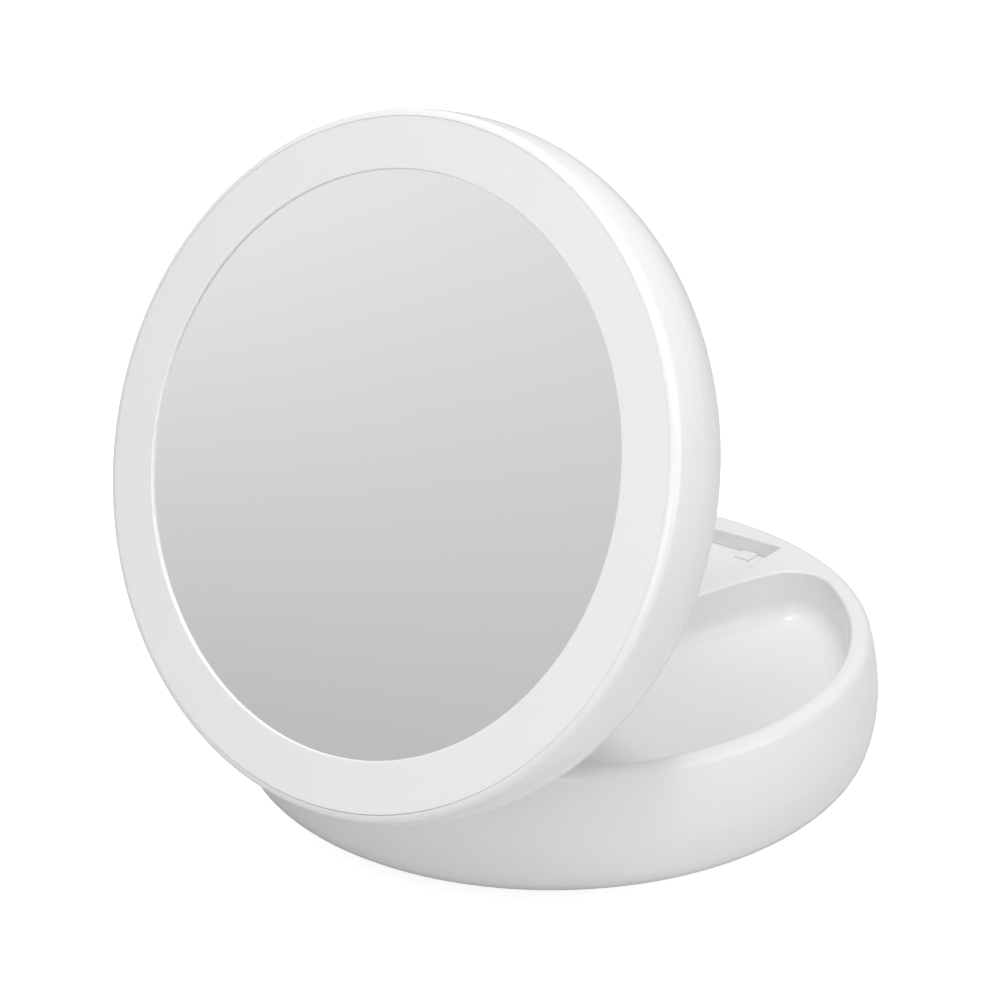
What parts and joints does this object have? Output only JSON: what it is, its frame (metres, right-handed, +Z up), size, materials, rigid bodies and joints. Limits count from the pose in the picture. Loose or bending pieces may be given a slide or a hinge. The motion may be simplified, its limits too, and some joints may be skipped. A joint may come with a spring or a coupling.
{
  "type": "lighted magnifying mirror",
  "caption": "Round fold-down make-up mirror with a lamp ring, hinged as the lid of a bowl-shaped base with storage wells, a power button and a battery bay.",
  "frame": {"origin": "on the table, under the axis of the round base", "axes": "+Z up; the hinge is on the -Y side, so the mirror faces -Y when it stands open; +X sideways along the hinge"},
  "size_m": [0.1772, 0.1936, 0.1941],
  "materials": {
    "shell_white": "satin white moulded plastic",
    "panel_white": "fine matt white",
    "button_white": "satin white",
    "diffuser_white": "milky translucent white",
    "mirror_silver": "silvered glass",
    "inner_white": "matt white",
    "foot_grey": "soft matt",
    "pad_grey": "soft foam tape",
    "steel": "plated",
    "cell_can": "plain wrapped can",
    "board_green": "solder mask",
    "switch_black": "matt",
    "lens_clear": "clear",
    "lamp_cream": "phosphor cream",
    "lead_white": "insulated wire"
  },
  "bodies": {
    "base": {"base_upper": "shell_white", "base_lower": "shell_white", "battery_door": "shell_white", "control_panel": "panel_white", "feet": "foot_grey", "base_screws": "steel", "door_screws": "steel", "board_screws": "steel", "hinge_pin": "steel", "pin_clip": "steel", "friction_washers": "steel", "contact_plates": "steel", "contact_springs": "steel", "battery_cells": "cell_can", "control_board": "board_green", "tact_switch": "switch_black", "indicator_lens": "lens_clear", "lamp_lead": "lead_white"},
    "button": {"power_button": "button_white", "switch_plunger": "switch_black"},
    "head": {"head_rim": "shell_white", "head_back_cover": "shell_white", "diffuser_ring": "diffuser_white", "mirror": "mirror_silver", "mirror_pad": "pad_grey", "mirror_carrier": "inner_white", "reflector": "inner_white", "lamp_board": "board_green", "lamps": "lamp_cream", "rim_screws": "steel", "carrier_screws": "steel", "hinge_bracket": "steel", "bracket_screws": "steel", "head_lead": "lead_white"}
  },
  "joints": [
    {"name": "head_hinge", "type": "hinge", "parent": "base", "child": "head", "pos_m": [0, -0.072, 0.0362], "axis": [1, 0, 0], "range_deg": [-67.8, 2]},
    {"name": "button_press", "type": "slide", "parent": "base", "child": "button", "axis": [0, 0, -1], "range_m": [0, 0.001], "stiffness_N_per_m": 1500}
  ]
}
